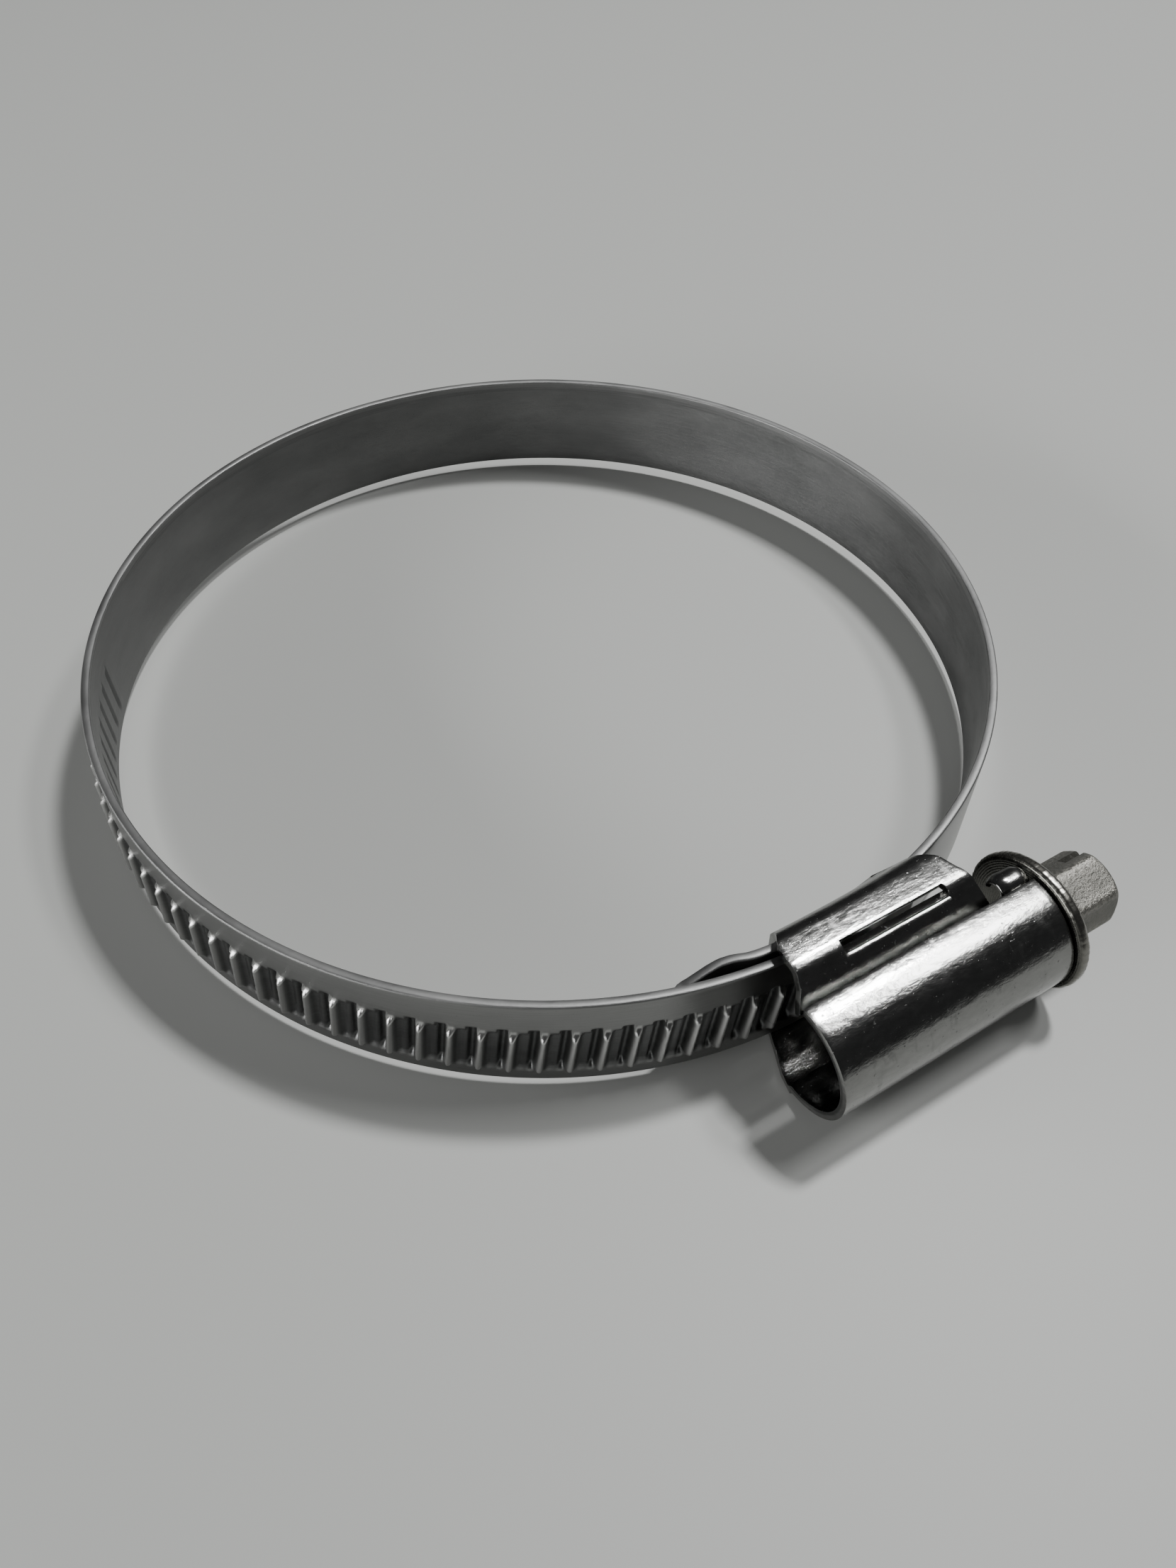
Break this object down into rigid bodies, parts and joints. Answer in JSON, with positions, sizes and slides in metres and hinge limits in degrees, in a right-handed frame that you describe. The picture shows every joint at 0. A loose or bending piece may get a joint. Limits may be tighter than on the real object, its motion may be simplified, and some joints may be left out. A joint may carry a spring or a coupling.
{
  "type": "hose clamp",
  "caption": "Worm-drive hose clamp: an embossed steel band loops through a pressed housing and a slotted hexagon screw draws its ribbed end tight.",
  "frame": {"origin": "middle of the bottom of the clamp's box, below the ring", "axes": "+Z along the ring's axis, the hose's axis; -Y to the housing at the front; +X along the screw to its head"},
  "size_m": [0.098, 0.1108, 0.0147],
  "materials": {
    "band": "satin bare stainless strip with rolled bright edges",
    "housing": "bright smooth pressed steel",
    "screw": "zinc plated turned steel, slightly yellow, grainy on the wrench flats"
  },
  "bodies": {
    "frame": {"housing": "housing", "band_fixed_end": "band"},
    "worm_screw": {"worm_screw": "screw"},
    "band_tongue": {"band_tongue": "band"},
    "band_section_01": {"band_section_01": "band"},
    "band_section_02": {"band_section_02": "band"},
    "band_section_03": {"band_section_03": "band"},
    "band_section_04": {"band_section_04": "band"},
    "band_section_05": {"band_section_05": "band"},
    "band_section_06": {"band_section_06": "band"},
    "band_section_07": {"band_section_07": "band"},
    "band_section_08": {"band_section_08": "band"},
    "band_section_09": {"band_section_09": "band"},
    "band_section_10": {"band_section_10": "band"},
    "band_section_11": {"band_section_11": "band"},
    "band_section_12": {"band_section_12": "band"},
    "band_section_13": {"band_section_13": "band"},
    "band_section_14": {"band_section_14": "band"},
    "band_section_15": {"band_section_15": "band"},
    "band_free_end": {"band_free_end": "band"}
  },
  "joints": [
    {"name": "screw_turn", "type": "hinge", "parent": "frame", "child": "worm_screw", "pos_m": [0.0008, -0.04837, 0.00705], "axis": [-1, 0, 0], "range_deg": [-360, 7920]},
    {"name": "tongue_flex", "type": "hinge", "parent": "frame", "child": "band_tongue", "pos_m": [-0.00601, -0.04113, 0.00735], "axis": [0, 0, 1], "range_deg": [-8.05, 0.41]},
    {"name": "band_bend_01", "type": "hinge", "parent": "frame", "child": "band_section_01", "pos_m": [0.01869, -0.03814, 0.00735], "axis": [0, 0, 1], "range_deg": [-0.37, 7.14]},
    {"name": "band_bend_02", "type": "hinge", "parent": "band_section_01", "child": "band_section_02", "pos_m": [0.03397, -0.02822, 0.00735], "axis": [0, 0, 1], "range_deg": [-0.28, 5.08]},
    {"name": "band_bend_03", "type": "hinge", "parent": "band_section_02", "child": "band_section_03", "pos_m": [0.04443, -0.01329, 0.00735], "axis": [0, 0, 1], "range_deg": [-0.28, 5.15]},
    {"name": "band_bend_04", "type": "hinge", "parent": "band_section_03", "child": "band_section_04", "pos_m": [0.04852, 0.00446, 0.00735], "axis": [0, 0, 1], "range_deg": [-0.29, 5.34]},
    {"name": "band_bend_05", "type": "hinge", "parent": "band_section_04", "child": "band_section_05", "pos_m": [0.04577, 0.0225, 0.00735], "axis": [0, 0, 1], "range_deg": [-0.3, 5.52]},
    {"name": "band_bend_06", "type": "hinge", "parent": "band_section_05", "child": "band_section_06", "pos_m": [0.03656, 0.03832, 0.00735], "axis": [0, 0, 1], "range_deg": [-0.3, 5.55]},
    {"name": "band_bend_07", "type": "hinge", "parent": "band_section_06", "child": "band_section_07", "pos_m": [0.02204, 0.04967, 0.00735], "axis": [0, 0, 1], "range_deg": [-0.29, 5.39]},
    {"name": "band_bend_08", "type": "hinge", "parent": "band_section_07", "child": "band_section_08", "pos_m": [0.00421, 0.0548, 0.00735], "axis": [0, 0, 1], "range_deg": [-0.28, 5.14]},
    {"name": "band_bend_09", "type": "hinge", "parent": "band_section_08", "child": "band_section_09", "pos_m": [-0.01435, 0.05277, 0.00735], "axis": [0, 0, 1], "range_deg": [-0.27, 4.98]},
    {"name": "band_bend_10", "type": "hinge", "parent": "band_section_09", "child": "band_section_10", "pos_m": [-0.03079, 0.04378, 0.00735], "axis": [0, 0, 1], "range_deg": [-0.28, 5.08]},
    {"name": "band_bend_11", "type": "hinge", "parent": "band_section_10", "child": "band_section_11", "pos_m": [-0.04259, 0.0292, 0.00735], "axis": [0, 0, 1], "range_deg": [-0.29, 5.4]},
    {"name": "band_bend_12", "type": "hinge", "parent": "band_section_11", "child": "band_section_12", "pos_m": [-0.04808, 0.01127, 0.00735], "axis": [0, 0, 1], "range_deg": [-0.3, 5.65]},
    {"name": "band_bend_13", "type": "hinge", "parent": "band_section_12", "child": "band_section_13", "pos_m": [-0.04644, -0.00742, 0.00735], "axis": [0, 0, 1], "range_deg": [-0.28, 5.16]},
    {"name": "band_bend_14", "type": "hinge", "parent": "band_section_13", "child": "band_section_14", "pos_m": [-0.03793, -0.02413, 0.00735], "axis": [0, 0, 1], "range_deg": [-0.27, 4.84]},
    {"name": "band_bend_15", "type": "hinge", "parent": "band_section_14", "child": "band_section_15", "pos_m": [-0.02377, -0.03644, 0.00735], "axis": [0, 0, 1], "range_deg": [-0.29, 5.33]},
    {"name": "band_bend_16", "type": "hinge", "parent": "band_section_15", "child": "band_free_end", "pos_m": [-0.00604, -0.04254, 0.00735], "axis": [0, 0, 1], "range_deg": [-0.29, 5.28]}
  ],
  "couplings": [
    {"joint": "tongue_flex", "follows": "screw_turn", "ratio": -0.0010101},
    {"joint": "band_bend_01", "follows": "screw_turn", "ratio": 0.00089484},
    {"joint": "band_bend_02", "follows": "screw_turn", "ratio": 0.00063469},
    {"joint": "band_bend_03", "follows": "screw_turn", "ratio": 0.0006442},
    {"joint": "band_bend_04", "follows": "screw_turn", "ratio": 0.0006686},
    {"joint": "band_bend_05", "follows": "screw_turn", "ratio": 0.00069076},
    {"joint": "band_bend_06", "follows": "screw_turn", "ratio": 0.00069397},
    {"joint": "band_bend_07", "follows": "screw_turn", "ratio": 0.00067382},
    {"joint": "band_bend_08", "follows": "screw_turn", "ratio": 0.00064247},
    {"joint": "band_bend_09", "follows": "screw_turn", "ratio": 0.00062293},
    {"joint": "band_bend_10", "follows": "screw_turn", "ratio": 0.00063471},
    {"joint": "band_bend_11", "follows": "screw_turn", "ratio": 0.00067591},
    {"joint": "band_bend_12", "follows": "screw_turn", "ratio": 0.00070758},
    {"joint": "band_bend_13", "follows": "screw_turn", "ratio": 0.00064518},
    {"joint": "band_bend_14", "follows": "screw_turn", "ratio": 0.00060519},
    {"joint": "band_bend_15", "follows": "screw_turn", "ratio": 0.00066699},
    {"joint": "band_bend_16", "follows": "screw_turn", "ratio": 0.00066081}
  ]
}
